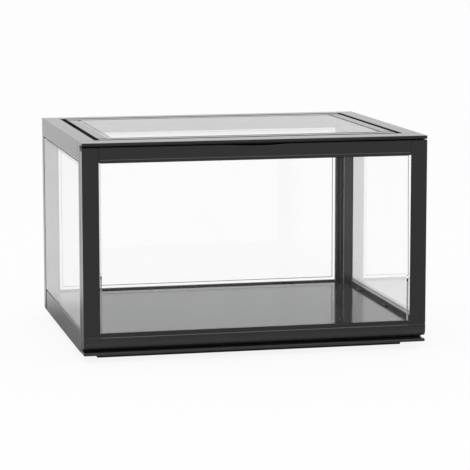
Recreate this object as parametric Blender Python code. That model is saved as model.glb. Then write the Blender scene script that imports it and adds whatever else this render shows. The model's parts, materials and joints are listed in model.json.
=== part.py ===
import math

import bmesh
import bpy
from mathutils import Vector

# Overall size. The origin is the centre of the plinth's underside, the door faces -Y, metres.
WIDTH = 0.400
DEPTH = 0.3212
BODY_HEIGHT = 0.2400
PLINTH_HEIGHT = 0.0083
GAP = 0.0003
CUT_OVERRUN = 0.003
EDGE_ROUNDING = 0.0002
ROUND_STEPS = 36
ARC_STEPS = 20
EDGE_STEPS = 2
ROUNDING_STEPS = 6
SHARP_ANGLE = 20

# Base
PLATE_THICKNESS = 0.0035
LIP_ROUNDING = 0.0012
GROOVE_INSET = 0.0196
GROOVE_WIDTH = 0.0067
HEADER_DEPTH = 0.0308
PLINTH_PLAY = 0.0008
SIDE_RAIL_WIDTH = 0.0080
SIDE_RAIL_HEIGHT = 0.0250
REAR_RAIL_HEIGHT = 0.0223
REAR_RAIL_DEPTH = 0.0048
RAIL_ROUNDING = 0.0010
BOARD_THICKNESS = 0.0030
BOARD_TOP = 0.0204
BEARER_WIDTH = 0.016
BEARER_INSET = 0.0856
SILL_DEPTH = 0.007
CLIP_LENGTH = 0.010
CLIP_THICKNESS = 0.0012
CLIP_WIDTH = 0.0040
CLIP_FRONT_INSET = 0.1301
CLIP_REAR_INSET = 0.0781
SCREW_INSET = 0.060
SCREW_LENGTH = 0.012
SCREW_RADIUS = 0.0015
SCREW_HEAD_RADIUS = 0.0032
SCREW_HEAD_DEPTH = 0.0018
SCREW_HEAD_EDGE = 0.0003
SCREW_FIT = 0.0002
RECESS_LENGTH = 0.0032
RECESS_WIDTH = 0.0007
RECESS_DEPTH = 0.0011

# Glazing
PANE_THICKNESS = 0.0030
SIDE_PANE_THICKNESS = 0.0012
REAR_PANE_THICKNESS = 0.0020
PANE_INSET = 0.0013
REAR_PANE_INSET = 0.0012
PANE_PLAY = 0.0002
PANE_ENTRY = 0.0055
PANE_BORDER = 0.0034
DOOR_SIDE_BORDER = 0.0009
PANE_SEAM = 0.0004
LEVEL_SEAM = 0.0008
FIELD_SLOPE = 0.0006
DOOR_FIELD_SLOPE = 0.0018
SIDE_FIELD_RISE = 0.0010
SIDE_INNER_RISE = 0.0004
REAR_FIELD_RISE = 0.0008
TOP_FIELD_RISE = 0.0006
DOOR_FIELD_RISE = 0.0012

# Uprights
POST_SIDE = 0.0206
POST_INNER_WIDTH = 0.0152
POST_STILE_WIDTH = 0.0216
POST_ROUNDING = 0.0008
JAMB_WIDTH = 0.0092
JAMB_DEPTH = 0.0102

# Top
TOP_RAIL_HEIGHT = 0.0221
TOP_REAR_HEIGHT = 0.0215
FLANGE_THICKNESS = 0.0039
INNER_BAR_HEIGHT = 0.0093
INNER_BAR_WIDTH = 0.0120
PANE_SEAT = 0.0036
LEDGE_THICKNESS = 0.0030

# Door
DOOR_THICKNESS = 0.0140
DOOR_BACK_GAP = 0.0013
DOOR_TOP_GAP = 0.0012
DOOR_BOTTOM_GAP = 0.0030
DOOR_STILE_FACE = 0.0169
DOOR_TOP_FACE = 0.0143
DOOR_BOTTOM_FACE = 0.0140
DOOR_SIDE_LIP = 0.0022
DOOR_TOP_LIP = 0.0029
DOOR_BOTTOM_LIP = 0.0052
FACE_CHAMFER = 0.0006
LIP_DEPTH = 0.0003
LIP_THICKNESS = 0.0007
REBATE_WIDTH = 0.0045
SIDE_REBATE_WIDTH = 0.0100
RETAINER_DEPTH = 0.0055
RETAINER_HEIGHT = 0.0020
RETAINER_SIDE_WIDTH = 0.0048

# Hinge and catch
PIN_RADIUS = 0.0015
PIN_LENGTH = 0.0290
PIN_HEAD_RADIUS = 0.0028
PIN_HEAD_LENGTH = 0.0020
HINGE_FIT = 0.00008
LUG_INSET = 0.0209
LUG_THICKNESS = 0.0042
LUG_RADIUS = 0.0034
LUG_ARM_HEIGHT = 0.0050
LUG_ENTRY = 0.0040
SLOT_CLEARANCE = 0.0004
MAGNET_RADIUS = 0.0040
MAGNET_THICKNESS = 0.0028
MAGNET_INSET = 0.050
MAGNET_DROP = 0.0065
MAGNET_FIT = 0.0002

# Levels and lines that several pieces share
HALF_WIDTH = WIDTH / 2
FRONT = -DEPTH / 2
BACK = DEPTH / 2
BODY_BOTTOM = PLINTH_HEIGHT
BODY_TOP = BODY_BOTTOM + BODY_HEIGHT
PLATE_TOP = BODY_BOTTOM + PLATE_THICKNESS
FRAME_FRONT = FRONT + DOOR_THICKNESS + DOOR_BACK_GAP
BOARD_LEVEL = BODY_BOTTOM + BOARD_TOP
TOP_RAIL_BOTTOM = BODY_TOP - TOP_RAIL_HEIGHT
GROOVE_FLOOR = BODY_TOP - INNER_BAR_HEIGHT - GAP
JAMB_BACK = FRAME_FRONT + JAMB_DEPTH
POST_FRONT = BACK - POST_SIDE
HEADER_BACK = FRONT + HEADER_DEPTH
GROOVE_BACK = BACK - GROOVE_INSET
INNER_FRONT = HEADER_BACK + GROOVE_WIDTH
INNER_BACK = GROOVE_BACK - GROOVE_WIDTH
INNER_SIDE = GROOVE_INSET + GROOVE_WIDTH
DOOR_BOTTOM = PLATE_TOP + DOOR_BOTTOM_GAP
DOOR_TOP = BODY_TOP - FLANGE_THICKNESS - DOOR_TOP_GAP
DOOR_BACK = FRONT + DOOR_THICKNESS
HINGE_RADIUS = DOOR_THICKNESS / 2
HINGE_Y = FRONT + HINGE_RADIUS
HINGE_Z = DOOR_BOTTOM + HINGE_RADIUS
LIP_FRONT = FRONT + LIP_DEPTH
LIP_BACK = LIP_FRONT + LIP_THICKNESS
DOOR_FACE_BOTTOM = DOOR_BOTTOM + DOOR_BOTTOM_FACE
DOOR_LIP_BOTTOM = DOOR_FACE_BOTTOM + DOOR_BOTTOM_LIP
DOOR_FACE_TOP = DOOR_TOP - DOOR_TOP_FACE
DOOR_LIP_TOP = DOOR_FACE_TOP - DOOR_TOP_LIP
DOOR_LIP_SIDE = DOOR_STILE_FACE + DOOR_SIDE_LIP
DOOR_PANE_BACK = LIP_BACK + GAP + PANE_THICKNESS
MAGNET_Z = DOOR_TOP - MAGNET_DROP
SIDE_SLOT_OUTER = PANE_INSET - PANE_PLAY
SIDE_SLOT_INNER = PANE_INSET + SIDE_PANE_THICKNESS + PANE_PLAY
REAR_SLOT_OUTER = REAR_PANE_INSET - PANE_PLAY
REAR_SLOT_INNER = REAR_PANE_INSET + REAR_PANE_THICKNESS + PANE_PLAY

# Name, colour, roughness, metallic, transmission
MATERIAL_SHARES = {
    "black_frame": ((0.028, 0.028, 0.029), 0.18, 0.0, 0.0),
    "black_board": ((0.010, 0.010, 0.011), 0.08, 0.0, 0.0),
    "black_base": ((0.020, 0.020, 0.020), 0.40, 0.0, 0.0),
    "clear_pane": ((0.96, 0.97, 0.97), 0.03, 0.0, 1.0),
    "dark_steel": ((0.10, 0.10, 0.11), 0.35, 1.0, 0.0),
    "bright_steel": ((0.55, 0.55, 0.56), 0.28, 1.0, 0.0),
}


def clear_start():
    for item in list(bpy.data.objects):
        bpy.data.objects.remove(item, do_unlink=True)


def make_materials():
    made = {}
    for name, (colour, roughness, metallic, transmission) in MATERIAL_SHARES.items():
        material = bpy.data.materials.new(name)
        material.use_nodes = True
        shader = material.node_tree.nodes["Principled BSDF"]
        shader.inputs["Base Color"].default_value = (*colour, 1)
        shader.inputs["Roughness"].default_value = roughness
        shader.inputs["Metallic"].default_value = metallic
        shader.inputs["Transmission Weight"].default_value = transmission
        made[name] = material
    return made


def add_piece(name, vertices, faces, material, parent=None):
    """Makes an object whose own origin is the middle of its bounds."""
    points = [Vector(point) for point in vertices]
    low = Vector([min(point[i] for point in points) for i in range(3)])
    high = Vector([max(point[i] for point in points) for i in range(3)])
    middle = (low + high) / 2
    mesh = bpy.data.meshes.new(name)
    mesh.from_pydata([point - middle for point in points], [], faces)
    shape = bmesh.new()
    shape.from_mesh(mesh)
    bmesh.ops.recalc_face_normals(shape, faces=shape.faces)
    shape.to_mesh(mesh)
    shape.free()
    mesh.polygons.foreach_set("use_smooth", [True] * len(mesh.polygons))
    mesh.set_sharp_from_angle(angle=math.radians(SHARP_ANGLE))
    if material is not None:
        mesh.materials.append(material)
    piece = bpy.data.objects.new(name, mesh)
    bpy.context.collection.objects.link(piece)
    if parent is None:
        piece.location = middle
    else:
        piece.parent = parent
        piece.location = middle - parent.location
    return piece


def add_bar(name, outline, axis, start, end, material, parent=None):
    """Stretches a closed outline along one axis. The outline holds the other two, in X Y Z order."""
    count = len(outline)
    vertices = []
    for along in (start, end):
        for a, b in outline:
            point = [a, b]
            point.insert("XYZ".index(axis), along)
            vertices.append(point)
    faces = [tuple(range(count)), tuple(range(count, count + count))]
    for i in range(count):
        after = (i + 1) % count
        faces.append((i, after, after + count, i + count))
    return add_piece(name, vertices, faces, material, parent)


def add_box(name, low, high, material, parent=None):
    outline = [(low[0], low[1]), (high[0], low[1]), (high[0], high[1]), (low[0], high[1])]
    return add_bar(name, outline, "Z", low[2], high[2], material, parent)


def arc(centre, radius, start_degrees, end_degrees, steps):
    points = []
    for i in range(steps + 1):
        angle = math.radians(start_degrees + (end_degrees - start_degrees) * i / steps)
        points.append((centre[0] + radius * math.cos(angle), centre[1] + radius * math.sin(angle)))
    return points


def circle(centre, radius):
    return arc(centre, radius, 0, 360, ROUND_STEPS)[:-1]


def soften(piece, width=EDGE_ROUNDING):
    rounding = piece.modifiers.new("edges", "BEVEL")
    rounding.width = width
    rounding.segments = EDGE_STEPS
    rounding.limit_method = "ANGLE"
    rounding.angle_limit = math.radians(SHARP_ANGLE)
    rounding.harden_normals = True
    return piece


def cut(piece, cutter):
    """Takes the cutter out of the piece. The cutter stays as a hidden wire shape."""
    cutter.hide_render = True
    cutter.display_type = "WIRE"
    removal = piece.modifiers.new("cut", "BOOLEAN")
    removal.operation = "DIFFERENCE"
    removal.solver = "EXACT"
    removal.object = cutter


def at_side(side, inset):
    """X of a line that lies this far inside the left (-1) or right (1) face."""
    return side * (HALF_WIDTH - inset)


def between(side, first, second):
    return sorted((at_side(side, first), at_side(side, second)))


def add_pane(name, centre, half_sizes, facing, thickness, field, material, parent=None):
    """A clear plate with a raised field. Facing is the axis and sign of the plate's first side.
    Field holds three things. Rises tells how far the field stands out on the first and on the other
    side, zero for flat. Borders holds for each side the widths that the field leaves free: at the low
    and the high edge of the first direction, then of the second. Slopes holds the widths of the
    field's sloped edges in the two directions."""
    rises, borders, slopes = field
    axis, sign = facing
    across = [i for i in range(3) if i != axis]
    plate = [(-size, size) for size in half_sizes]
    rings = []
    for level, rise, border in ((1, rises[0], borders[0]), (-1, rises[1], borders[1])):
        if rise == 0:
            side = [(level * thickness / 2, plate)]
        else:
            foot = [(low + border[2 * i], high - border[2 * i + 1]) for i, (low, high) in enumerate(plate)]
            crown = [(low + slope, high - slope) for (low, high), slope in zip(foot, slopes)]
            edge = level * thickness / 2
            side = [(edge, plate), (edge, foot), (edge + level * rise, crown)]
        if level > 0:
            rings = side[::-1]
        else:
            rings += side
    vertices = []
    for height, sizes in rings:
        for u, v in ((0, 0), (1, 0), (1, 1), (0, 1)):
            point = [0, 0, 0]
            point[axis] = centre[axis] + sign * height
            point[across[0]] = centre[across[0]] + sizes[0][u]
            point[across[1]] = centre[across[1]] + sizes[1][v]
            vertices.append(point)
    last = len(vertices) - 4
    faces = [(0, 1, 2, 3), (last, last + 1, last + 2, last + 3)]
    for ring in range(len(rings) - 1):
        for i in range(4):
            j = (i + 1) % 4
            low = 4 * ring
            faces.append((low + i, low + j, low + 4 + j, low + 4 + i))
    return add_piece(name, vertices, faces, material, parent)


def build_plinth(look):
    outer = GROOVE_INSET + PLINTH_PLAY
    inner = INNER_SIDE - PLINTH_PLAY
    front = HEADER_BACK + PLINTH_PLAY
    front_inner = INNER_FRONT - PLINTH_PLAY
    back = GROOVE_BACK - PLINTH_PLAY
    back_inner = INNER_BACK + PLINTH_PLAY
    top = BODY_BOTTOM - GAP
    for name, y0, y1 in (("plinth_front", front, front_inner), ("plinth_rear", back_inner, back)):
        soften(add_box(name, (-HALF_WIDTH + outer, y0, 0), (HALF_WIDTH - outer, y1, top), look["black_base"]))
    for name, side in (("plinth_left", -1), ("plinth_right", 1)):
        x0, x1 = between(side, outer, inner)
        soften(add_box(name, (x0, front_inner + GAP, 0), (x1, back_inner - GAP, top), look["black_base"]))


def build_base_plate(look):
    lip = JAMB_BACK
    middle = HALF_WIDTH - SIDE_RAIL_WIDTH - GAP
    narrow = HALF_WIDTH - POST_STILE_WIDTH - GAP
    neck = POST_FRONT - GAP
    back = BACK - REAR_RAIL_DEPTH - GAP
    half = [(HALF_WIDTH, FRONT), (HALF_WIDTH, lip), (middle, lip)]
    half += [(middle, neck), (narrow, neck), (narrow, back)]
    outline = half + [(-x, y) for x, y in reversed(half)]
    plate = add_bar("base_plate", outline, "Z", BODY_BOTTOM, PLATE_TOP, look["black_frame"])
    soften(plate, LIP_ROUNDING)
    for x, y in screw_places():
        cut(plate, add_turned("cut_screw_seat", (x, y), screw_profile(SCREW_FIT, -CUT_OVERRUN), None))


def screw_places():
    """Middles of the screws that hold the base plate to the two bearers."""
    places = []
    for side in (-1, 1):
        for sign in (-1, 1):
            places.append((at_side(side, SCREW_INSET), bearer_line(sign)))
    return places


def bearer_line(sign):
    """Y of the middle of the front (-1) or rear (1) bearer."""
    return sign * (BACK - BEARER_INSET)


def screw_profile(fit, below):
    """Radius and level of a countersunk screw's rings, from the head up. Below moves the head's flat."""
    wide = SCREW_HEAD_RADIUS + fit
    thin = SCREW_RADIUS + fit
    edge = BODY_BOTTOM + SCREW_HEAD_EDGE
    return [(wide, BODY_BOTTOM + below), (wide, edge), (thin, BODY_BOTTOM + SCREW_HEAD_DEPTH),
            (thin, BODY_BOTTOM + SCREW_LENGTH + fit)]


def add_turned(name, centre, profile, material):
    """Rings round an upright line through the centre, closed at both ends."""
    vertices = []
    for radius, z in profile:
        vertices += [(x, y, z) for x, y in circle(centre, radius)]
    last = len(vertices) - ROUND_STEPS
    faces = [tuple(range(ROUND_STEPS)), tuple(range(last, last + ROUND_STEPS))]
    for ring in range(len(profile) - 1):
        low = ring * ROUND_STEPS
        for i in range(ROUND_STEPS):
            j = (i + 1) % ROUND_STEPS
            faces.append((low + i, low + j, low + ROUND_STEPS + j, low + ROUND_STEPS + i))
    return add_piece(name, vertices, faces, material)


def build_base_screws(look):
    places = ("left_front", "left_rear", "right_front", "right_rear")
    for place, (x, y) in zip(places, screw_places()):
        screw = add_turned("base_screw_" + place, (x, y), screw_profile(0, 0), look["bright_steel"])
        for half_x, half_y in ((RECESS_LENGTH / 2, RECESS_WIDTH / 2), (RECESS_WIDTH / 2, RECESS_LENGTH / 2)):
            low = (x - half_x, y - half_y, BODY_BOTTOM - CUT_OVERRUN)
            high = (x + half_x, y + half_y, BODY_BOTTOM + RECESS_DEPTH)
            cut(screw, add_box("cut_recess", low, high, None))


def build_side_rails(look):
    top = BODY_BOTTOM + SIDE_RAIL_HEIGHT
    floor = top - PANE_ENTRY - GAP
    section = [(0, BODY_BOTTOM), (SIDE_RAIL_WIDTH, BODY_BOTTOM), (SIDE_RAIL_WIDTH, top)]
    section += [(SIDE_SLOT_INNER, top), (SIDE_SLOT_INNER, floor)]
    section += [(SIDE_SLOT_OUTER, floor), (SIDE_SLOT_OUTER, top)]
    section += arc((RAIL_ROUNDING, top - RAIL_ROUNDING), RAIL_ROUNDING, 90, 180, ROUNDING_STEPS)
    for name, side in (("side_rail_left", -1), ("side_rail_right", 1)):
        outline = [(at_side(side, inset), z) for inset, z in section]
        soften(add_bar(name, outline, "Y", JAMB_BACK + GAP, POST_FRONT - GAP, look["black_frame"]))


def build_rear_rail(look):
    top = BODY_BOTTOM + REAR_RAIL_HEIGHT
    reach = HALF_WIDTH - POST_STILE_WIDTH - GAP
    outline = rear_section(BODY_BOTTOM, top, REAR_RAIL_DEPTH)
    soften(add_bar("rear_rail", outline, "X", -reach, reach, look["black_frame"]))


def rear_section(plain, grooved, inner):
    """Section of a rail with the rear pane's groove in its edge at the level called grooved."""
    near = BACK - REAR_SLOT_OUTER
    far = BACK - REAR_SLOT_INNER
    entry = PANE_ENTRY + GAP
    floor = grooved - entry if grooved > plain else grooved + entry
    return [(BACK, plain), (BACK, grooved), (near, grooved), (near, floor), (far, floor), (far, grooved),
            (BACK - inner, grooved), (BACK - inner, plain)]


def build_floor(look):
    low = BOARD_LEVEL - BOARD_THICKNESS
    front = FRAME_FRONT + SILL_DEPTH + GAP
    neck = POST_FRONT - GAP
    back = BACK - REAR_RAIL_DEPTH - GAP
    wide = HALF_WIDTH - SIDE_RAIL_WIDTH - GAP
    door_side = HALF_WIDTH - JAMB_WIDTH - GAP
    step = JAMB_BACK + GAP
    narrow = HALF_WIDTH - POST_STILE_WIDTH - GAP
    half = [(door_side, front), (door_side, step), (wide, step)]
    half += [(wide, neck), (narrow, neck), (narrow, back)]
    outline = half + [(-x, y) for x, y in reversed(half)]
    soften(add_bar("floor_board", outline, "Z", low, BOARD_LEVEL, look["black_board"]))
    for name, sign in (("bearer_front", -1), ("bearer_rear", 1)):
        y0 = bearer_line(sign) - BEARER_WIDTH / 2
        y1 = y0 + BEARER_WIDTH
        bearer = add_box(name, (-wide, y0, PLATE_TOP + GAP), (wide, y1, low - GAP), look["black_base"])
        soften(bearer)
        for x, y in screw_places():
            if y * sign > 0:
                bore = circle((x, y), SCREW_RADIUS + SCREW_FIT)
                depth = BODY_BOTTOM + SCREW_LENGTH + GAP
                cut(bearer, add_bar("cut_screw_bore", bore, "Z", PLATE_TOP - CUT_OVERRUN, depth, None))


def build_clips(look):
    """Small flat tabs beside the side rails, just over the floor board's edges."""
    low = BOARD_LEVEL + GAP
    for name, side in (("left", -1), ("right", 1)):
        x0, x1 = between(side, SIDE_RAIL_WIDTH + GAP, SIDE_RAIL_WIDTH + GAP + CLIP_WIDTH)
        for place, y in (("front", FRONT + CLIP_FRONT_INSET), ("rear", BACK - CLIP_REAR_INSET)):
            low_point = (x0, y - CLIP_LENGTH / 2, low)
            high_point = (x1, y + CLIP_LENGTH / 2, low + CLIP_THICKNESS)
            name_here = "floor_clip_" + name + "_" + place
            soften(add_box(name_here, low_point, high_point, look["black_frame"]))


def build_sill(look):
    reach = HALF_WIDTH - JAMB_WIDTH - GAP
    back = FRAME_FRONT + SILL_DEPTH
    low_point = (-reach, FRAME_FRONT, PLATE_TOP + GAP)
    sill = add_box("front_sill", low_point, (reach, back, BOARD_LEVEL), look["black_frame"])
    for side in (-1, 1):
        x0, x1 = between(side, LUG_INSET - GAP, LUG_INSET + LUG_THICKNESS + GAP)
        low = (x0, FRAME_FRONT - CUT_OVERRUN, HINGE_Z - LUG_ARM_HEIGHT / 2 - GAP)
        high = (x1, FRAME_FRONT + LUG_ENTRY + GAP, HINGE_Z + LUG_ARM_HEIGHT / 2 + GAP)
        cut(sill, add_box("cut_lug_pocket", low, high, None))
    soften(sill)


def build_posts(look):
    stile = POST_STILE_WIDTH
    floor = stile - PANE_ENTRY - GAP
    side_floor = POST_SIDE - PANE_ENTRY - GAP
    section = [(0, 0), (stile, 0), (stile, REAR_SLOT_OUTER), (floor, REAR_SLOT_OUTER)]
    section += [(floor, REAR_SLOT_INNER), (stile, REAR_SLOT_INNER), (stile, REAR_RAIL_DEPTH)]
    section += [(POST_INNER_WIDTH, REAR_RAIL_DEPTH)]
    corner = (POST_INNER_WIDTH - POST_ROUNDING, POST_SIDE - POST_ROUNDING)
    section += arc(corner, POST_ROUNDING, 0, 90, ROUNDING_STEPS)
    section += [(SIDE_SLOT_INNER, POST_SIDE), (SIDE_SLOT_INNER, side_floor), (0, side_floor)]
    for name, side in (("post_left", -1), ("post_right", 1)):
        outline = [(at_side(side, inset), BACK - depth) for inset, depth in section]
        soften(add_bar(name, outline, "Z", BODY_BOTTOM, TOP_RAIL_BOTTOM - GAP, look["black_frame"]))


def build_jambs(look):
    floor = JAMB_BACK - PANE_ENTRY - GAP
    section = [(0, FRAME_FRONT), (JAMB_WIDTH, FRAME_FRONT), (JAMB_WIDTH, JAMB_BACK)]
    section += [(SIDE_SLOT_INNER, JAMB_BACK), (SIDE_SLOT_INNER, floor), (SIDE_SLOT_OUTER, floor)]
    section += [(SIDE_SLOT_OUTER, JAMB_BACK), (0, JAMB_BACK)]
    for name, side in (("jamb_left", -1), ("jamb_right", 1)):
        outline = [(at_side(side, inset), y) for inset, y in section]
        bottom = PLATE_TOP + GAP
        soften(add_bar(name, outline, "Z", bottom, TOP_RAIL_BOTTOM - GAP, look["black_frame"]))


def build_header(look):
    flange = BODY_TOP - FLANGE_THICKNESS
    outline = [(FRONT, flange), (FRONT, BODY_TOP), (HEADER_BACK, BODY_TOP), (HEADER_BACK, TOP_RAIL_BOTTOM)]
    outline += [(FRAME_FRONT, TOP_RAIL_BOTTOM), (FRAME_FRONT, flange)]
    header = add_bar("header", outline, "X", -HALF_WIDTH, HALF_WIDTH, look["black_frame"])
    soften(header)
    for side in (-1, 1):
        centre = (at_side(side, MAGNET_INSET), MAGNET_Z)
        bore = circle(centre, MAGNET_RADIUS + MAGNET_FIT)
        depth = FRAME_FRONT + MAGNET_THICKNESS + GAP
        cut(header, add_bar("cut_strike", bore, "Y", FRAME_FRONT - CUT_OVERRUN, depth, None))
        x0, x1 = between(side, SIDE_SLOT_OUTER, SIDE_SLOT_INNER)
        low = (x0, JAMB_BACK - PANE_ENTRY - GAP, TOP_RAIL_BOTTOM - CUT_OVERRUN)
        high = (x1, HEADER_BACK + CUT_OVERRUN, TOP_RAIL_BOTTOM + PANE_ENTRY + GAP)
        cut(header, add_box("cut_pane_corner", low, high, None))


def build_strikes(look):
    for name, side in (("strike_left", -1), ("strike_right", 1)):
        disc = circle((at_side(side, MAGNET_INSET), MAGNET_Z), MAGNET_RADIUS)
        soften(add_bar(name, disc, "Y", FRAME_FRONT, FRAME_FRONT + MAGNET_THICKNESS, look["dark_steel"]))


def build_top_rails(look):
    ceiling = TOP_RAIL_BOTTOM + PANE_ENTRY + GAP
    section = arc((RAIL_ROUNDING, TOP_RAIL_BOTTOM + RAIL_ROUNDING), RAIL_ROUNDING, 180, 270, ROUNDING_STEPS)
    section += [(SIDE_SLOT_OUTER, TOP_RAIL_BOTTOM), (SIDE_SLOT_OUTER, ceiling), (SIDE_SLOT_INNER, ceiling)]
    section += [(SIDE_SLOT_INNER, TOP_RAIL_BOTTOM), (GROOVE_INSET, TOP_RAIL_BOTTOM), (GROOVE_INSET, BODY_TOP)]
    section += [(0, BODY_TOP)]
    for name, side in (("top_rail_left", -1), ("top_rail_right", 1)):
        outline = [(at_side(side, inset), z) for inset, z in section]
        rail = add_bar(name, outline, "Y", HEADER_BACK + GAP, BACK, look["black_frame"])
        x0, x1 = between(side, POST_STILE_WIDTH - PANE_ENTRY - GAP, GROOVE_INSET + CUT_OVERRUN)
        near = BACK - REAR_SLOT_OUTER
        far = BACK - REAR_SLOT_INNER
        high = BODY_TOP - TOP_REAR_HEIGHT + PANE_ENTRY + GAP
        low = TOP_RAIL_BOTTOM - CUT_OVERRUN
        cut(rail, add_box("cut_pane_corner", (x0, far, low), (x1, near, high), None))
        soften(rail)
    low = BODY_TOP - TOP_REAR_HEIGHT
    outline = rear_section(BODY_TOP, low, GROOVE_INSET)
    reach = HALF_WIDTH - GROOVE_INSET - GAP
    soften(add_bar("top_rail_rear", outline, "X", -reach, reach, look["black_frame"]))


def build_ledges(look):
    """Flat bars that close the stacking groove from below and carry the inner bars."""
    low = GROOVE_FLOOR - LEDGE_THICKNESS
    wide = HALF_WIDTH - GROOVE_INSET - GAP
    seat = INNER_BAR_WIDTH + PANE_SEAT
    front_inner = INNER_FRONT + seat
    back_inner = INNER_BACK - seat
    front = HEADER_BACK + GAP
    back = GROOVE_BACK - GAP
    for name, y0, y1 in (("ledge_front", front, front_inner), ("ledge_rear", back_inner, back)):
        soften(add_box(name, (-wide, y0, low), (wide, y1, GROOVE_FLOOR), look["black_base"]))
    for name, side in (("ledge_left", -1), ("ledge_right", 1)):
        x0, x1 = between(side, GROOVE_INSET + GAP, INNER_SIDE + seat)
        low_point = (x0, front_inner + GAP, low)
        high_point = (x1, back_inner - GAP, GROOVE_FLOOR)
        soften(add_box(name, low_point, high_point, look["black_base"]))


def build_inner_bars(look):
    """The frame of the top pane, inside the stacking groove."""
    low = GROOVE_FLOOR + GAP
    seat = BODY_TOP - TOP_FIELD_RISE - PANE_THICKNESS - GAP
    section = [(0, low), (INNER_BAR_WIDTH + PANE_SEAT, low), (INNER_BAR_WIDTH + PANE_SEAT, seat)]
    section += [(INNER_BAR_WIDTH, seat), (INNER_BAR_WIDTH, BODY_TOP), (0, BODY_TOP)]
    reach = HALF_WIDTH - INNER_SIDE
    for name, line, sign in (("inner_bar_front", INNER_FRONT, 1), ("inner_bar_rear", INNER_BACK, -1)):
        outline = [(line + sign * depth, z) for depth, z in section]
        soften(add_bar(name, outline, "X", -reach, reach, look["black_frame"]))
    start = INNER_FRONT + INNER_BAR_WIDTH + PANE_SEAT + GAP
    end = INNER_BACK - INNER_BAR_WIDTH - PANE_SEAT - GAP
    for name, side in (("inner_bar_left", -1), ("inner_bar_right", 1)):
        outline = [(at_side(side, INNER_SIDE + depth), z) for depth, z in section]
        soften(add_bar(name, outline, "Y", start, end, look["black_frame"]))


def build_body_panes(look):
    seams = (PANE_ENTRY + PANE_SEAM, PANE_SEAM, PANE_ENTRY + LEVEL_SEAM, PANE_ENTRY + LEVEL_SEAM)
    border = (PANE_ENTRY + PANE_BORDER,) * 4
    front = JAMB_BACK - PANE_ENTRY
    back = POST_FRONT + PANE_ENTRY
    low = BODY_BOTTOM + SIDE_RAIL_HEIGHT - PANE_ENTRY
    high = TOP_RAIL_BOTTOM + PANE_ENTRY
    middle = PANE_INSET + SIDE_PANE_THICKNESS / 2
    sizes = ((back - front) / 2, (high - low) / 2)
    slopes = (FIELD_SLOPE, FIELD_SLOPE)
    field = ((SIDE_FIELD_RISE, SIDE_INNER_RISE), (seams, border), slopes)
    for name, side in (("pane_left", -1), ("pane_right", 1)):
        centre = (at_side(side, middle), (front + back) / 2, (low + high) / 2)
        add_pane(name, centre, sizes, (0, side), SIDE_PANE_THICKNESS, field, look["clear_pane"])
    low = BODY_BOTTOM + REAR_RAIL_HEIGHT - PANE_ENTRY
    high = BODY_TOP - TOP_REAR_HEIGHT + PANE_ENTRY
    sizes = (HALF_WIDTH - POST_STILE_WIDTH + PANE_ENTRY, (high - low) / 2)
    centre = (0, BACK - REAR_PANE_INSET - REAR_PANE_THICKNESS / 2, (low + high) / 2)
    field = ((REAR_FIELD_RISE, 0), (border, border), slopes)
    add_pane("pane_rear", centre, sizes, (1, 1), REAR_PANE_THICKNESS, field, look["clear_pane"])
    front = INNER_FRONT + INNER_BAR_WIDTH + GAP
    back = INNER_BACK - INNER_BAR_WIDTH - GAP
    sizes = (HALF_WIDTH - INNER_SIDE - INNER_BAR_WIDTH - GAP, (back - front) / 2)
    centre = (0, (front + back) / 2, BODY_TOP - TOP_FIELD_RISE - PANE_THICKNESS / 2)
    border = (PANE_BORDER,) * 4
    field = ((TOP_FIELD_RISE, 0), (border, border), slopes)
    add_pane("pane_top", centre, sizes, (2, 1), PANE_THICKNESS, field, look["clear_pane"])


def build_lugs(look):
    """Hinge lugs: a tongue let into the sill, with an eye round the hinge axis."""
    half = LUG_ARM_HEIGHT / 2
    start = math.degrees(math.asin(half / LUG_RADIUS))
    tail = FRAME_FRONT + LUG_ENTRY
    outline = arc((HINGE_Y, HINGE_Z), LUG_RADIUS, start, 360 - start, ROUND_STEPS)
    outline += [(tail, HINGE_Z - half), (tail, HINGE_Z + half)]
    bore = circle((HINGE_Y, HINGE_Z), PIN_RADIUS + HINGE_FIT)
    for name, side in (("hinge_lug_left", -1), ("hinge_lug_right", 1)):
        x0, x1 = between(side, LUG_INSET, LUG_INSET + LUG_THICKNESS)
        lug = add_bar(name, outline, "X", x0, x1, look["dark_steel"])
        cut(lug, add_bar("cut_lug_eye", bore, "X", x0 - CUT_OVERRUN, x1 + CUT_OVERRUN, None))


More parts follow.
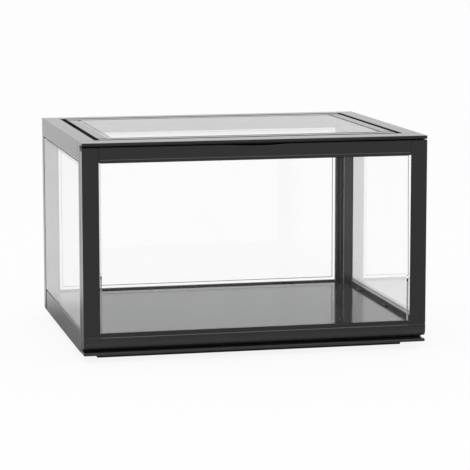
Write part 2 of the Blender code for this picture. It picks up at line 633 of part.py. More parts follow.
def build_door_bottom_rail(look, hinge):
    slope = DOOR_FACE_BOTTOM - FACE_CHAMFER
    rebate = DOOR_LIP_BOTTOM - REBATE_WIDTH
    outline = arc((HINGE_Y, HINGE_Z), HINGE_RADIUS, 180, 360, ARC_STEPS)
    outline += [(DOOR_BACK, rebate), (LIP_BACK, rebate), (LIP_BACK, DOOR_LIP_BOTTOM)]
    outline += [(LIP_FRONT, DOOR_LIP_BOTTOM), (LIP_FRONT, DOOR_FACE_BOTTOM), (FRONT, slope)]
    rail = add_bar("door_rail_bottom", outline, "X", -HALF_WIDTH, HALF_WIDTH, look["black_frame"], hinge)
    for side in (-1, 1):
        x0, x1 = between(side, -CUT_OVERRUN, DOOR_LIP_SIDE + GAP)
        low = (x0, FRONT - CUT_OVERRUN, rebate - GAP)
        high = (x1, DOOR_BACK + CUT_OVERRUN, DOOR_LIP_BOTTOM + CUT_OVERRUN)
        cut(rail, add_box("cut_stile_seat", low, high, None, hinge))
        x0, x1 = between(side, LUG_INSET - SLOT_CLEARANCE, LUG_INSET + LUG_THICKNESS + SLOT_CLEARANCE)
        low = (x0, HINGE_Y - LUG_RADIUS - SLOT_CLEARANCE, DOOR_BOTTOM - CUT_OVERRUN)
        high = (x1, DOOR_BACK + CUT_OVERRUN, HINGE_Z + LUG_RADIUS + SLOT_CLEARANCE)
        cut(rail, add_box("cut_lug_slot", low, high, None, hinge))
        bore = circle((HINGE_Y, HINGE_Z), PIN_RADIUS + HINGE_FIT)
        x0, x1 = between(side, -CUT_OVERRUN, PIN_LENGTH + GAP)
        cut(rail, add_bar("cut_pin_bore", bore, "X", x0, x1, None, hinge))
        seat = circle((HINGE_Y, HINGE_Z), PIN_HEAD_RADIUS + HINGE_FIT)
        x0, x1 = between(side, -CUT_OVERRUN, PIN_HEAD_LENGTH + GAP)
        cut(rail, add_bar("cut_pin_head", seat, "X", x0, x1, None, hinge))


def build_door_top_rail(look, hinge):
    slope = DOOR_FACE_TOP + FACE_CHAMFER
    rebate = DOOR_LIP_TOP + REBATE_WIDTH
    outline = [(FRONT, DOOR_TOP), (FRONT, slope), (LIP_FRONT, DOOR_FACE_TOP)]
    outline += [(LIP_FRONT, DOOR_LIP_TOP), (LIP_BACK, DOOR_LIP_TOP)]
    outline += [(LIP_BACK, rebate), (DOOR_BACK, rebate), (DOOR_BACK, DOOR_TOP)]
    reach = HALF_WIDTH - DOOR_LIP_SIDE - GAP
    rail = add_bar("door_rail_top", outline, "X", -reach, reach, look["black_frame"], hinge)
    soften(rail)
    for side in (-1, 1):
        bore = circle((at_side(side, MAGNET_INSET), MAGNET_Z), MAGNET_RADIUS + MAGNET_FIT)
        start = DOOR_BACK - MAGNET_THICKNESS - GAP
        cut(rail, add_bar("cut_magnet", bore, "Y", start, DOOR_BACK + CUT_OVERRUN, None, hinge))


def build_door_stiles(look, hinge):
    face = DOOR_STILE_FACE
    rebate = DOOR_LIP_SIDE - SIDE_REBATE_WIDTH
    section = [(0, FRONT), (face - FACE_CHAMFER, FRONT), (face, LIP_FRONT)]
    section += [(DOOR_LIP_SIDE, LIP_FRONT), (DOOR_LIP_SIDE, LIP_BACK), (rebate, LIP_BACK), (rebate, DOOR_BACK)]
    section += [(0, DOOR_BACK)]
    low = DOOR_LIP_BOTTOM - REBATE_WIDTH
    for name, side in (("door_stile_left", -1), ("door_stile_right", 1)):
        outline = [(at_side(side, inset), y) for inset, y in section]
        soften(add_bar(name, outline, "Z", low, DOOR_TOP, look["black_frame"], hinge))


def build_door_pane(look, hinge):
    low = DOOR_LIP_BOTTOM - REBATE_WIDTH + GAP
    high = DOOR_LIP_TOP + REBATE_WIDTH - GAP
    half_width = HALF_WIDTH - DOOR_LIP_SIDE + SIDE_REBATE_WIDTH - GAP
    centre = (0, LIP_BACK + GAP + PANE_THICKNESS / 2, (low + high) / 2)
    side_border = SIDE_REBATE_WIDTH - GAP + DOOR_SIDE_BORDER
    border = (side_border, side_border, RETAINER_HEIGHT + GAP, REBATE_WIDTH)
    sizes = (half_width, (high - low) / 2)
    field = ((DOOR_FIELD_RISE, 0), (border, border), (DOOR_FIELD_SLOPE, FIELD_SLOPE))
    add_pane("door_pane", centre, sizes, (1, 1), PANE_THICKNESS, field, look["clear_pane"], hinge)


def build_retainers(look, hinge):
    """Strips pressed in behind the door's pane."""
    front = DOOR_PANE_BACK + GAP
    back = front + RETAINER_DEPTH
    low = DOOR_LIP_BOTTOM - REBATE_WIDTH + GAP
    high = DOOR_LIP_TOP + REBATE_WIDTH - GAP
    outer = DOOR_LIP_SIDE - SIDE_REBATE_WIDTH + GAP
    wide = HALF_WIDTH - outer
    step = low + RETAINER_HEIGHT
    spans = (("door_retainer_bottom", low, step), ("door_retainer_top", DOOR_LIP_TOP, high))
    for name, z0, z1 in spans:
        soften(add_box(name, (-wide, front, z0), (wide, back, z1), look["black_base"], hinge))
    for name, side in (("door_retainer_left", -1), ("door_retainer_right", 1)):
        x0, x1 = between(side, outer, outer + RETAINER_SIDE_WIDTH)
        low_point = (x0, front, step + GAP)
        high_point = (x1, back, DOOR_LIP_TOP - GAP)
        soften(add_box(name, low_point, high_point, look["black_base"], hinge))


def build_magnets(look, hinge):
    for name, side in (("door_magnet_left", -1), ("door_magnet_right", 1)):
        disc = circle((at_side(side, MAGNET_INSET), MAGNET_Z), MAGNET_RADIUS)
        start = DOOR_BACK - MAGNET_THICKNESS
        soften(add_bar(name, disc, "Y", start, DOOR_BACK, look["bright_steel"], hinge))


def build_pins(look, hinge):
    """Pins with a flat head, turned about the hinge axis."""
    rings = ((0, PIN_HEAD_RADIUS), (PIN_HEAD_LENGTH, PIN_HEAD_RADIUS), (PIN_HEAD_LENGTH, PIN_RADIUS))
    rings += ((PIN_LENGTH, PIN_RADIUS),)
    for name, side in (("hinge_pin_left", -1), ("hinge_pin_right", 1)):
        vertices = []
        for inset, radius in rings:
            vertices += [(at_side(side, inset), y, z) for y, z in circle((HINGE_Y, HINGE_Z), radius)]
        last = len(vertices) - ROUND_STEPS
        faces = [tuple(range(ROUND_STEPS)), tuple(range(last, last + ROUND_STEPS))]
        for ring in range(len(rings) - 1):
            low = ring * ROUND_STEPS
            for i in range(ROUND_STEPS):
                j = (i + 1) % ROUND_STEPS
                faces.append((low + i, low + j, low + ROUND_STEPS + j, low + ROUND_STEPS + i))
        add_piece(name, vertices, faces, look["dark_steel"], hinge)


def add_hinge():
    hinge = bpy.data.objects.new("door_hinge", None)
    hinge.location = (0, HINGE_Y, HINGE_Z)
    bpy.context.collection.objects.link(hinge)
    return hinge


def main():
    clear_start()
    look = make_materials()
    build_plinth(look)
    build_base_plate(look)
    build_side_rails(look)
    build_rear_rail(look)
    build_floor(look)
    build_clips(look)
    build_base_screws(look)
    build_sill(look)
    build_posts(look)
    build_jambs(look)
    build_header(look)
    build_strikes(look)
    build_top_rails(look)
    build_ledges(look)
    build_inner_bars(look)
    build_body_panes(look)
    build_lugs(look)
    hinge = add_hinge()
    build_door_bottom_rail(look, hinge)
    build_door_top_rail(look, hinge)
    build_door_stiles(look, hinge)
    build_door_pane(look, hinge)
    build_retainers(look, hinge)
    build_magnets(look, hinge)
    build_pins(look, hinge)


main()
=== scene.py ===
import json
import math

import bmesh
import bpy
import numpy as np
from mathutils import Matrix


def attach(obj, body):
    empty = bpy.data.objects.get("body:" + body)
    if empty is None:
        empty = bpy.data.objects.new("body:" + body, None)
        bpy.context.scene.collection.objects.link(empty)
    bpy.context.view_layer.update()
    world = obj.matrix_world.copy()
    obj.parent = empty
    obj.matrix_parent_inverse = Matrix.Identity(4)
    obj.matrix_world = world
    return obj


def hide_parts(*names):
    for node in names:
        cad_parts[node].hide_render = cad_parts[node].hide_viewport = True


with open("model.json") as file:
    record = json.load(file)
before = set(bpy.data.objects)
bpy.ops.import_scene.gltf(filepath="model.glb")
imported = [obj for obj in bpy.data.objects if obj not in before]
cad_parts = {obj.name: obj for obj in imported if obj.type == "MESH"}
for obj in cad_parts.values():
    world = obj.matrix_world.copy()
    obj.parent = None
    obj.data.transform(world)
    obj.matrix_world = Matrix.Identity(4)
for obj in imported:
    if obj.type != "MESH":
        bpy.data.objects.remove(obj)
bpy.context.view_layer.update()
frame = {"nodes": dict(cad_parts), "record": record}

print("frame loaded:", len(frame["nodes"]), "nodes")


# One shader value. Python operators on it add Math nodes to its tree.
class Wire:

    def __init__(self, paint, socket):
        self.paint = paint
        self.socket = socket

    def join(self, operation, *others):
        return self.paint.node("ShaderNodeMath", {"operation": operation}, [self, *others])

    def __add__(self, other):
        return self.join("ADD", other)

    def __sub__(self, other):
        return self.join("SUBTRACT", other)

    def __mul__(self, other):
        return self.join("MULTIPLY", other)

    def __radd__(self, other):
        return self.join("ADD", other)

    def __rsub__(self, other):
        return self.paint.node("ShaderNodeMath", {"operation": "SUBTRACT"}, [other, self])

    def __rmul__(self, other):
        return self.join("MULTIPLY", other)

    def __neg__(self):
        return self.join("MULTIPLY", -1.0)

    def __abs__(self):
        return self.join("ABSOLUTE")

    # the greater of two values
    def orMore(self, other):
        return self.join("MAXIMUM", other)

    # kept between 0 and 1
    def clip(self):
        return self.paint.node("ShaderNodeMath", {"operation": "ADD", "use_clamp": True}, [self, 0.0])

    # 0 below low, 1 above high, a smooth S between them
    def step(self, low, high):
        values = {"Value": self, "From Min": low, "From Max": high}
        return self.paint.node("ShaderNodeMapRange", {"interpolation_type": "SMOOTHSTEP"}, values)


# A material, or the world, whose node tree is being built.
class Paint:

    def __init__(self, holder):
        self.holder = holder
        holder.use_nodes = True
        self.tree = holder.node_tree
        self.tree.nodes.clear()

    # The one place where nodes are made. Settings come first, then each socket gets its link or its value.
    def make(self, kind, settings=None, values=None):
        made = self.tree.nodes.new(kind)
        for key, value in (settings or {}).items():
            setattr(made, key, value)
        pairs = values.items() if isinstance(values, dict) else enumerate(values or [])
        for key, value in pairs:
            if isinstance(value, Wire):
                self.tree.links.new(value.socket, made.inputs[key])
            else:
                made.inputs[key].default_value = value
        return made

    def node(self, kind, settings=None, values=None, output=0):
        return Wire(self, self.make(kind, settings, values).outputs[output])

    # the point on the piece, in metres in the shared frame
    def place(self):
        return self.node("ShaderNodeTexCoord", output="Object")

    # one coordinate of that point: 0 to the right, 1 to the back, 2 up
    def along(self, axis):
        return self.part(self.place(), axis)

    # the point with each coordinate scaled, then turned
    def stretched(self, scale, turn=(0, 0, 0)):
        values = {"Vector": self.place(), "Scale": scale, "Rotation": turn}
        return self.node("ShaderNodeMapping", None, values)

    def noise(self, scale, detail=3.0, rough=0.5, where=None, distortion=0.0):
        values = {"Vector": where or self.place(), "Scale": scale, "Detail": detail, "Roughness": rough,
                  "Distortion": distortion}
        return self.node("ShaderNodeTexNoise", None, values)

    # distance to the nearest of many scattered points
    def cells(self, scale):
        return self.node("ShaderNodeTexVoronoi", None, {"Vector": self.place(), "Scale": scale})

    # 1 at the scattered points, 0 past the far distance
    def dots(self, scale, near, far):
        return 1.0 - self.cells(scale).step(near, far)

    # 0 outside the four limits, 1 between the middle two, smooth between
    def band(self, value, limits):
        return value.step(*limits[:2]) * (1.0 - value.step(*limits[2:]))

    # two colours mixed: first * (1 - amount) + second * amount
    def blend(self, amount, first, second):
        ends = [(*end, 1) if isinstance(end, tuple) else end for end in (first, second)]
        values = {0: amount, 6: ends[0], 7: ends[1]}  # a Mix node's factor and its two colour sockets
        return self.node("ShaderNodeMix", {"data_type": "RGBA"}, values, 2)

    def part(self, wire, axis):
        return self.node("ShaderNodeSeparateXYZ", None, [wire], axis)

    # how far the surface faces along one axis, -1 to 1
    def facing(self, axis):
        return self.part(self.node("ShaderNodeNewGeometry", output="Normal"), axis)

    # a normal that turns smoothly round an edge over this radius
    def rounded(self, radius):
        return self.node("ShaderNodeBevel", {"samples": 6}, {"Radius": radius})

    # 1 - (rounded normal . real normal): above 0 near sharp edges, 0 on flat faces
    def edges(self, soft):
        flat = self.node("ShaderNodeNewGeometry", output="Normal")
        agreement = self.node("ShaderNodeVectorMath", {"operation": "DOT_PRODUCT"}, [soft, flat], "Value")
        return (1.0 - agreement).clip()

    def bump(self, height, strength, distance, soft=None):
        values = {"Height": height, "Strength": strength, "Distance": distance}
        if soft is not None:
            values["Normal"] = soft
        return self.node("ShaderNodeBump", None, values)

    def principled(self, values):
        return self.node("ShaderNodeBsdfPrincipled", None, values)

    # an even white light of this strength
    def glow(self, strength):
        return self.node("ShaderNodeEmission", None, {"Color": (1, 1, 1, 1), "Strength": strength})

    def rays(self, kind):
        return self.node("ShaderNodeLightPath", output=kind)

    # first * (1 - share) + second * share
    def mixed(self, share, first, second):
        return self.node("ShaderNodeMixShader", None, [share, first, second])

    def finish(self, shader, kind="ShaderNodeOutputMaterial"):
        self.make(kind, None, {"Surface": shader})
        return self.holder


def newPaint(name):
    return Paint(bpy.data.materials.new(name))


frameLook = {
    "dark": (0.0275, 0.0275, 0.0285),
    "light": (0.0345, 0.0345, 0.0355),
    "worn": (0.115, 0.115, 0.117),
    "dust": (0.160, 0.157, 0.150),
    # painted shade for the low inward faces
    "inner": (0.0070, 0.0070, 0.0074),
    # painted highlight on the slopes along the door's opening
    "rimHighlight": (0.135, 0.135, 0.137),
    # painted highlight on the rear posts' stepped edges
    "corner": (0.32, 0.32, 0.322),
    # painted shade in the gap over the door
    "seamShade": (0.0070, 0.0070, 0.0072),
    "shares": {"worn": 0.8, "rimHighlight": 0.85, "dust": 0.30},
    "ior": 1.5,
    "gloss": 0.055,
    "rougher": {"smudge": 0.06, "scratch": 0.05, "worn": 0.10, "dust": 0.15, "matt": 0.42},
    "flowScale": 9.0,
    "smudgeScale": 34.0,
    "smudges": (0.50, 0.72),
    "hairThin": 0.012,  # how much longer than wide a scratch is drawn
    "hairScales": (900.0, 800.0),
    "hairTurns": ((0, 0, 0.10), (0.12, 0, 0)),
    "hairs": ((0.66, 0.74), (0.68, 0.76)),
    "edgeRadius": 0.0008,
    "rubbed": (0.02, 0.25),
    "rubScale": 70.0,
    "rubPatches": (0.25, 0.60),
    "dustDots": (650.0, 0.08, 0.16),
    "dustScale": 45.0,
    "dustPatches": (0.48, 0.70),
    "level": (0.60, 0.95),
    "peelScales": (520.0, 60.0),
    "peel": 0.6,
    "scratchDepth": 0.5,
    "bump": (0.05, 0.00008),
    # where, in metres
    "innerSide": (0.05, 0.12),
    "innerTop": (0.036, 0.042),
    "openingWidth": (0.1790, 0.1805),
    "openingHeights": (0.0265, 0.0275, 0.2360, 0.2380),
    "cornerWidth": (0.1900, 0.1950),
    "cornerFrom": (0.04, 0.08),
    "seamHeights": (0.2422, 0.2430, 0.2445, 0.2465),
    "seamBack": (-0.150, -0.146),
    "gapHeights": (0.2385, 0.2392, 0.2445, 0.2465),
    "gapFront": (-0.1603, -0.1600),
    # how strongly a face must slope between two axes
    "slope": (0.12, 0.35),
    "cornerSlope": (0.04, 0.22),
}


# Painted shade and a matt finish on faces that look inwards below the floor board's level:
# (-x * nx over innerSide) * (z under innerTop).
def innerFaces(paint, look):
    outward = paint.along(0) * paint.facing(0)
    low = 1.0 - paint.along(2).step(*look["innerTop"])
    return (-outward).step(*look["innerSide"]) * low


# Painted highlight on the slopes along the door's opening: |ny * nz| within its width and heights.
def openingHighlight(paint, look):
    within = 1.0 - abs(paint.along(0)).step(*look["openingWidth"])
    slope = abs(paint.facing(1) * paint.facing(2)).step(*look["slope"])
    return slope * paint.band(paint.along(2), look["openingHeights"]) * within


# Painted highlight on the rounded edges of the steps inside the rear posts: |nx * ny| behind a depth.
def postCornerHighlight(paint, look):
    within = 1.0 - abs(paint.along(0)).step(*look["cornerWidth"])
    slope = abs(paint.facing(0) * paint.facing(1)).step(*look["cornerSlope"])
    return slope * paint.along(1).step(*look["cornerFrom"]) * within


# Painted shade in the gap over the shut door and behind its front face: two bands of height, on the front
# part only.
def seamShadeMask(paint, look):
    depth = paint.along(1)
    height = paint.along(2)
    over = paint.band(height, look["seamHeights"])
    behind = paint.band(height, look["gapHeights"]) * depth.step(*look["gapFront"])
    return (over + behind).clip() * (1.0 - depth.step(*look["seamBack"]))


# Hairline scratches in two directions: noise drawn out along x and along z, of which only the peaks are kept.
def hairlines(paint, look):
    thin = look["hairThin"]
    drawn = []
    for scale, stretch, turn, peaks in zip(look["hairScales"], ((thin, 1, 1), (1, 1, thin)),
                                           look["hairTurns"], look["hairs"]):
        drawn.append(paint.noise(scale, 2.0, 0.4, paint.stretched(stretch, turn)).step(*peaks))
    return (drawn[0] + drawn[1]).clip()


# Glossy moulded plastic: faint flow marks, finger smudges, hairline scratches, rubbed edges, a little dust,
# painted shade on low inward faces and in the gap over the door, and painted highlights on the door opening's
# slopes and the rear posts' stepped edges.
def mouldedBlack(name, look):
    paint = newPaint(name)
    flow = paint.noise(look["flowScale"], 4.0, 0.55, paint.stretched((1, 1, 3)), 0.6)
    smudge = paint.noise(look["smudgeScale"], 5.0, 0.62).step(*look["smudges"])
    scratch = hairlines(paint, look)
    soft = paint.rounded(look["edgeRadius"])
    patches = paint.noise(look["rubScale"], 3.0).step(*look["rubPatches"])
    worn = paint.edges(soft).step(*look["rubbed"]) * (patches * 0.5 + 0.5)
    inner = innerFaces(paint, look)
    seamShade = seamShadeMask(paint, look)
    upward = paint.facing(2).step(*look["level"])
    specks = paint.dots(*look["dustDots"])
    dust = upward * specks * paint.noise(look["dustScale"]).step(*look["dustPatches"])
    shares = look["shares"]
    colour = paint.blend(flow, look["dark"], look["light"])
    # painted shade: low inward faces darkened
    colour = paint.blend(inner, colour, look["inner"])
    colour = paint.blend(worn * shares["worn"], colour, look["worn"])
    # painted highlight on the door opening's slopes
    colour = paint.blend(openingHighlight(paint, look) * shares["rimHighlight"], colour, look["rimHighlight"])
    # painted highlight on the rear posts' stepped edges
    colour = paint.blend(postCornerHighlight(paint, look), colour, look["corner"])
    # painted shade in the gap over the door
    colour = paint.blend(seamShade, colour, look["seamShade"])
    colour = paint.blend(dust * shares["dust"], colour, look["dust"])
    rougher = look["rougher"]
    roughness = look["gloss"] + smudge * rougher["smudge"] + scratch * rougher["scratch"]
    roughness = roughness + worn * rougher["worn"] + dust * rougher["dust"] + (inner + seamShade) * rougher["matt"]
    fine, broad = (paint.noise(scale, 2.0) * look["peel"] for scale in look["peelScales"])
    height = fine + broad - scratch * look["scratchDepth"]
    return paint.finish(paint.principled({"Base Color": colour, "Roughness": roughness, "IOR": look["ior"],
                                          "Normal": paint.bump(height, *look["bump"], soft)}))


baseLook = {
    "dark": (0.0170, 0.0170, 0.0175),
    "light": (0.0230, 0.0230, 0.0235),
    "worn": (0.050, 0.050, 0.051),
    "wornShare": 0.5,
    "ior": 1.5,
    "satin": 0.34,
    "cloudy": 0.10,
    "grainy": 0.05,
    "cloudScale": 14.0,
    "grainScales": (1400.0, 2600.0),
    "grain": (0.7, 0.5),
    "edgeRadius": 0.0006,
    "rubbed": (0.05, 0.40),
    "rubScale": 60.0,
    "rubPatches": (0.35, 0.65),
    "bump": (0.25, 0.00005),
}


# The plainer plastic of the plinth, bearers and retainers: a fine even grain with cloudy gloss.
def satinBlack(name, look):
    paint = newPaint(name)
    cloud = paint.noise(look["cloudScale"], 4.0, 0.6)
    pits, fuzz = look["grainScales"]
    grain = paint.cells(pits) * look["grain"][0] + paint.noise(fuzz, 2.0) * look["grain"][1]
    soft = paint.rounded(look["edgeRadius"])
    worn = paint.edges(soft).step(*look["rubbed"]) * paint.noise(look["rubScale"]).step(*look["rubPatches"])
    colour = paint.blend(cloud, look["dark"], look["light"])
    colour = paint.blend(worn * look["wornShare"], colour, look["worn"])
    roughness = look["satin"] + cloud * look["cloudy"] + grain * look["grainy"]
    return paint.finish(paint.principled({"Base Color": colour, "Roughness": roughness, "IOR": look["ior"],
                                          "Normal": paint.bump(grain, *look["bump"], soft)}))


boardLook = {
    "dark": (0.0170, 0.0170, 0.0180),
    "light": (0.0215, 0.0215, 0.0225),
    "dust": (0.120, 0.117, 0.112),
    "dustShare": 0.30,
    "ior": 1.31,
    "gloss": 0.09,
    "rougher": {"wipe": 0.030, "speck": 0.10, "hair": 0.02},
    "toneScale": 6.0,
    "wipeScale": 30.0,
    "wipes": (0.52, 0.75),
    "speckDots": (420.0, 0.05, 0.10),
    "speckScale": 30.0,
    "speckPatches": (0.52, 0.72),
    "hairScale": 1000.0,
    "hairs": (0.70, 0.78),
    "waveScale": 16.0,
    "wave": 1.5,
    "hairDepth": 0.1,
    "bump": (0.02, 0.0001),
}


# A polished black board: long faint wipe marks, a few specks, hardly any haze.
def mirrorBoard(name, look):
    paint = newPaint(name)
    wipeTrack = paint.stretched((1, 0.18, 1), (0, 0, 0.5))
    wipe = paint.noise(look["wipeScale"], 5.0, 0.6, wipeTrack, 1.2).step(*look["wipes"])
    speck = paint.dots(*look["speckDots"]) * paint.noise(look["speckScale"]).step(*look["speckPatches"])
    hairTrack = paint.stretched((1, 0.01, 1), (0, 0, 0.35))
    hair = paint.noise(look["hairScale"], 2.0, 0.4, hairTrack).step(*look["hairs"])
    colour = paint.blend(paint.noise(look["toneScale"], 3.0), look["dark"], look["light"])
    colour = paint.blend(speck * look["dustShare"], colour, look["dust"])
    rougher = look["rougher"]
    roughness = look["gloss"] + wipe * rougher["wipe"] + speck * rougher["speck"] + hair * rougher["hair"]
    height = paint.noise(look["waveScale"], 2.0) * look["wave"] - hair * look["hairDepth"]
    return paint.finish(paint.principled({"Base Color": colour, "Roughness": roughness, "IOR": look["ior"],
                                          "Normal": paint.bump(height, *look["bump"])}))


paneLook = {
    "clear": (0.994, 0.997, 0.996),
    "haze": (0.980, 0.984, 0.982),
    "shade": (0.95, 0.96, 0.96, 1),
    "gleam": (0.35, 0.35, 0.35, 1),
    "ior": 1.49,
    "wipeScale": 12.0,
    "wipes": (0.55, 0.80),
    "speckDots": (160.0, 0.02, 0.04),
    "speckScale": 24.0,
    "speckPatches": (0.60, 0.75),
    "speckRough": 0.08,
}


# Clear sheet with a trace of wiping haze. Shadow rays pass, as light does through thin sheet.
def clearPane(name, look):
    paint = newPaint(name)
    wipeTrack = paint.stretched((1, 1, 0.4), (0.2, 0.1, 0.3))
    wipe = paint.noise(look["wipeScale"], 5.0, 0.6, wipeTrack, 1.0).step(*look["wipes"])
    speck = paint.dots(*look["speckDots"]) * paint.noise(look["speckScale"]).step(*look["speckPatches"])
    sheet = paint.principled({"Base Color": paint.blend(wipe, look["clear"], look["haze"]),
                              "Roughness": speck * look["speckRough"], "IOR": look["ior"],
                              "Specular Tint": look["gleam"], "Transmission Weight": 1.0})
    through = paint.node("ShaderNodeBsdfTransparent", None, {"Color": look["shade"]})
    return paint.finish(paint.mixed(paint.rays("Is Shadow Ray"), sheet, through))


darkSteelLook = {"colour": (0.055, 0.055, 0.060), "stain": (0.033, 0.033, 0.036), "polish": 0.32}
brightSteelLook = {"colour": (0.56, 0.56, 0.58), "stain": (0.34, 0.34, 0.35), "polish": 0.22}
toolMarks = {"ringScale": 1800.0, "stainScale": 160.0, "stained": 0.12, "bump": (0.15, 0.00003)}


# Small turned steel pieces with faint rings of tool marks.
def steel(name, look, marks):
    paint = newPaint(name)
    rings = paint.noise(marks["ringScale"], 3.0, 0.5, paint.stretched((0.2, 1, 1)))
    stain = paint.noise(marks["stainScale"], 4.0, 0.6)
    return paint.finish(paint.principled({"Base Color": paint.blend(stain, look["colour"], look["stain"]),
                                          "Roughness": look["polish"] + stain * marks["stained"],
                                          "Metallic": 1.0, "Normal": paint.bump(rings, *marks["bump"])}))


finishes = {
    "black_frame": mouldedBlack("glossBlackMoulding", frameLook),
    "black_base": satinBlack("satinBlackMoulding", baseLook),
    "black_board": mirrorBoard("polishedBlackBoard", boardLook),
    "clear_pane": clearPane("clearSheet", paneLook),
    "dark_steel": steel("blackenedSteel", darkSteelLook, toolMarks),
    "bright_steel": steel("platedSteel", brightSteelLook, toolMarks),
}

for entry in frame["record"]["subparts"]:
    node = frame["nodes"][entry["node"]]
    for slot in node.material_slots:
        slot.material = finishes[entry["material_slot"]]
print("finishes given to the CAD nodes")


# in metres: how wide and deep the notch is, how far it runs back, and how far the cutter stands clear
notchLook = {"width": 0.082, "depth": 0.0018, "reach": 0.0120, "spare": 0.002, "steps": 33}
mergeDistance = 1e-6


# puts the piece in the scene, merges what lies on one spot and turns every face outwards
def tidied(piece):
    work = bmesh.new()
    work.from_mesh(piece.data)
    bmesh.ops.remove_doubles(work, verts=work.verts, dist=mergeDistance)
    bmesh.ops.recalc_face_normals(work, faces=work.faces)
    work.to_mesh(piece.data)
    work.free()
    bpy.context.collection.objects.link(piece)
    return piece


# A lens-shaped prism that cuts the finger notch. Its lower line is a parabola, depth * (1 - (2x / width)^2)
# under the rail's top, raised by the merging distance so that its ends stand clear of that face. It runs from
# ahead of the front face to reach behind it.
def notchCutter(look, top, front):
    across = np.linspace(-1, 1, look["steps"])
    lower = np.stack([across * look["width"] / 2,
                      top - look["depth"] * (1 - across ** 2) + mergeDistance], axis=1)
    upper = lower[::-1] * (1, 0) + (0, top + look["spare"])
    outline = np.concatenate([lower, upper])
    count = len(outline)
    y = np.repeat([front - look["spare"], front + look["reach"]], count)
    points = np.stack([np.tile(outline[:, 0], 2), y, np.tile(outline[:, 1], 2)], axis=1)
    ring = np.arange(count)
    following = np.roll(ring, -1)
    walls = np.stack([ring, following, following + count, ring + count], axis=1).tolist()
    mesh = bpy.data.meshes.new("notchCutter")
    mesh.from_pydata(points.tolist(), [], walls + [ring[::-1].tolist(), (ring + count).tolist()])
    return tidied(bpy.data.objects.new("notchCutter", mesh))


# the door's top rail less the cutter: a shallow finger notch in the middle of its upper edge
def makeNotchedRail(look):
    rail = frame["nodes"]["door_rail_top"]
    corners = np.array([rail.matrix_world @ vertex.co for vertex in rail.data.vertices])
    piece = bpy.data.objects.new("notched_door_rail", rail.data.copy())
    piece.data.transform(rail.matrix_world)
    tidied(piece)
    cutter = notchCutter(look, corners[:, 2].max(), corners[:, 1].min())
    cut = piece.modifiers.new("notch", "BOOLEAN")
    cut.operation = "DIFFERENCE"
    cut.object = cutter
    bpy.context.view_layer.update()
    whole = piece.evaluated_get(bpy.context.evaluated_depsgraph_get())
    piece.data = bpy.data.meshes.new_from_object(whole)
    piece.modifiers.clear()
    bpy.data.objects.remove(cutter)
    piece.data.materials.clear()
    piece.data.materials.append(finishes["black_frame"])
    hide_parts("door_rail_top")
    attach(piece, "door")
    print("notched rail:", len(piece.data.polygons), "faces")


makeNotchedRail(notchLook)


stageLook = {
    "size": 14.0,
    "rings": 60,
    "bendFrom": 0.32,  # as a share of the size, from the middle
    "bend": 0.6,
    "paper": (0.955, 0.955, 0.955),
    "paperShade": (0.947, 0.947, 0.947),
    "paperScale": 1.2,
    "paperRough": 0.9,
    "white": 1.0,
    "glow": 0.88,
    "dim": 0.16,
    "dimFrom": 0.17,
    "dimTo": 0.32,
    "footprint": (0.20, 0.13),
    "nearTo": 0.22,
    "near": 0.70,
}


# quads of a grid whose vertices run row by row: (i, j), (i, j + 1), (i + 1, j + 1), (i + 1, j)
def gridFaces(rows, columns):
    i, j = np.meshgrid(np.arange(rows - 1), np.arange(columns - 1), indexing="ij")
    low = (i * columns + j).ravel()
    return np.stack([low, low + 1, low + columns + 1, low + columns], axis=1)


# Pale paper, near white for the camera and through clear sheet. Gloss alone sees it dim ahead of the door
# and close beside the case, where the dimming is a painted shadow: the share is the greater of a step in -y
# and a fade over the distance from the case's footprint.
def palePaper(name, look):
    paint = newPaint(name)
    colour = paint.blend(paint.noise(look["paperScale"], 2.0), look["paper"], look["paperShade"])
    lit = paint.principled({"Base Color": colour, "Roughness": look["paperRough"], "Specular IOR Level": 0.0})
    passed = paint.rays("Is Transmission Ray")
    mirrored = paint.rays("Is Glossy Ray") * (1.0 - passed)  # a refracted ray counts as both
    seen = (paint.rays("Is Camera Ray") + passed).clip()
    x = paint.along(0)
    y = paint.along(1)
    halfWidth, halfDepth = look["footprint"]
    ahead = (-y).step(look["dimFrom"], look["dimTo"])
    away = (abs(x) - halfWidth).orMore(abs(y) - halfDepth)
    # painted shadow: the paper dims in reflections close beside the case
    near = (1.0 - away.step(0.0, look["nearTo"])) * look["near"]
    shader = paint.mixed(seen * look["glow"], lit, paint.glow(look["white"]))
    return paint.finish(paint.mixed(mirrored * ahead.orMore(near), shader, paint.glow(look["dim"])))


# a flat square that curves up far behind the case: height = bend * (distance past a line) squared
def makeFloor(look):
    steps = np.linspace(-0.5, 0.5, look["rings"]) * look["size"]
    across, along = np.meshgrid(steps, steps, indexing="xy")
    rise = np.clip(along - look["size"] * look["bendFrom"], 0, None) ** 2 * look["bend"]
    points = np.stack([across, along, rise], axis=-1).reshape(-1, 3)
    mesh = bpy.data.meshes.new("floor")
    mesh.from_pydata(points.tolist(), [], gridFaces(look["rings"], look["rings"]).tolist())
    mesh.polygons.foreach_set("use_smooth", [True] * len(mesh.polygons))
    mesh.materials.append(palePaper("paleFloor", look))
    floor = bpy.data.objects.new("floor", mesh)
    bpy.context.collection.objects.link(floor)


skyLook = {"white": 1.0, "fill": 0.88, "dim": 0.16, "cardEdge": (0.45, 0.75), "cardTop": (0.35, 0.65)}


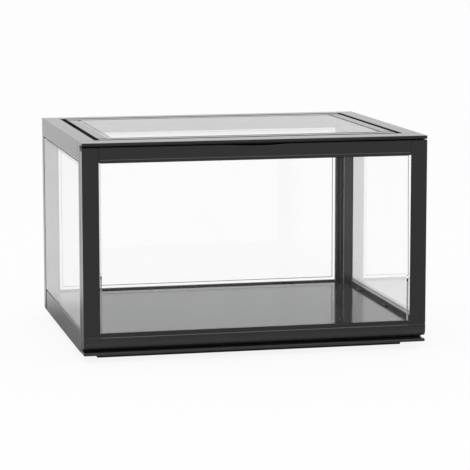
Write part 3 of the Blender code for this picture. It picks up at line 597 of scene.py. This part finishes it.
# White for the camera and through clear sheet, a little less as light on dull surfaces. Gloss sees a dim
# card ahead of the door, as wide and high as the settings say, and white elsewhere.
def makeSky(look):
    world = bpy.data.worlds.new("studio")
    bpy.context.scene.world = world
    paint = Paint(world)
    passed = paint.rays("Is Transmission Ray")
    mirrored = paint.rays("Is Glossy Ray") * (1.0 - passed)
    seen = (paint.rays("Is Camera Ray") + passed + mirrored).clip()
    towards = paint.node("ShaderNodeTexCoord", output="Generated")
    under = 1.0 - paint.part(towards, 2).step(*look["cardTop"])
    card = (-paint.part(towards, 1)).step(*look["cardEdge"]) * under
    strength = look["fill"] + seen * (look["white"] - look["fill"])
    strength = strength - mirrored * card * (look["white"] - look["dim"])
    sky = paint.node("ShaderNodeBackground", None, {"Color": (1, 1, 1, 1), "Strength": strength})
    paint.finish(sky, "ShaderNodeOutputWorld")


lampLook = {"place": (-0.9, -1.2, 2.2), "size": 1.8, "power": 9.0}


# A square softbox that points at the origin: tilted by atan(distance on the floor / height), then turned
# about the upright axis towards it.
def makeLamp(look):
    data = bpy.data.lights.new("softbox", "AREA")
    data.energy = look["power"]
    data.size = look["size"]
    lamp = bpy.data.objects.new("softbox", data)
    bpy.context.collection.objects.link(lamp)
    lamp.location = look["place"]
    x, y, z = look["place"]
    lamp.rotation_euler = (math.atan2(math.hypot(x, y), z), 0, math.atan2(-y, -x) - math.pi / 2)
    lamp.visible_glossy = False
    lamp.visible_camera = False


# eye and clip in metres, angles in degrees, focal length and frame width in pixels of the photo, sensor in mm
cameraLook = {"eye": (-0.5672, -2.5498, 0.4975), "yaw": 12.76, "pitch": 8.29, "roll": -0.06,
              "focal": 2191.0, "frame": 470.0, "sensor": 36.0, "clip": (0.05, 60)}


# focal length in pixels / frame width in pixels * sensor width = lens in mm
def makeCamera(look):
    data = bpy.data.cameras.new("camera")
    data.sensor_width = look["sensor"]
    data.lens = look["focal"] / look["frame"] * look["sensor"]
    data.clip_start, data.clip_end = look["clip"]
    camera = bpy.data.objects.new("camera", data)
    bpy.context.collection.objects.link(camera)
    camera.location = look["eye"]
    camera.rotation_euler = (math.radians(90 - look["pitch"]), 0, math.radians(-look["yaw"]))
    camera.rotation_euler.rotate_axis("Z", math.radians(look["roll"]))
    bpy.context.scene.camera = camera


makeFloor(stageLook)
makeSky(skyLook)
makeLamp(lampLook)
makeCamera(cameraLook)
bpy.context.scene.view_settings.view_transform = "Standard"
print("floor, light and camera in place")
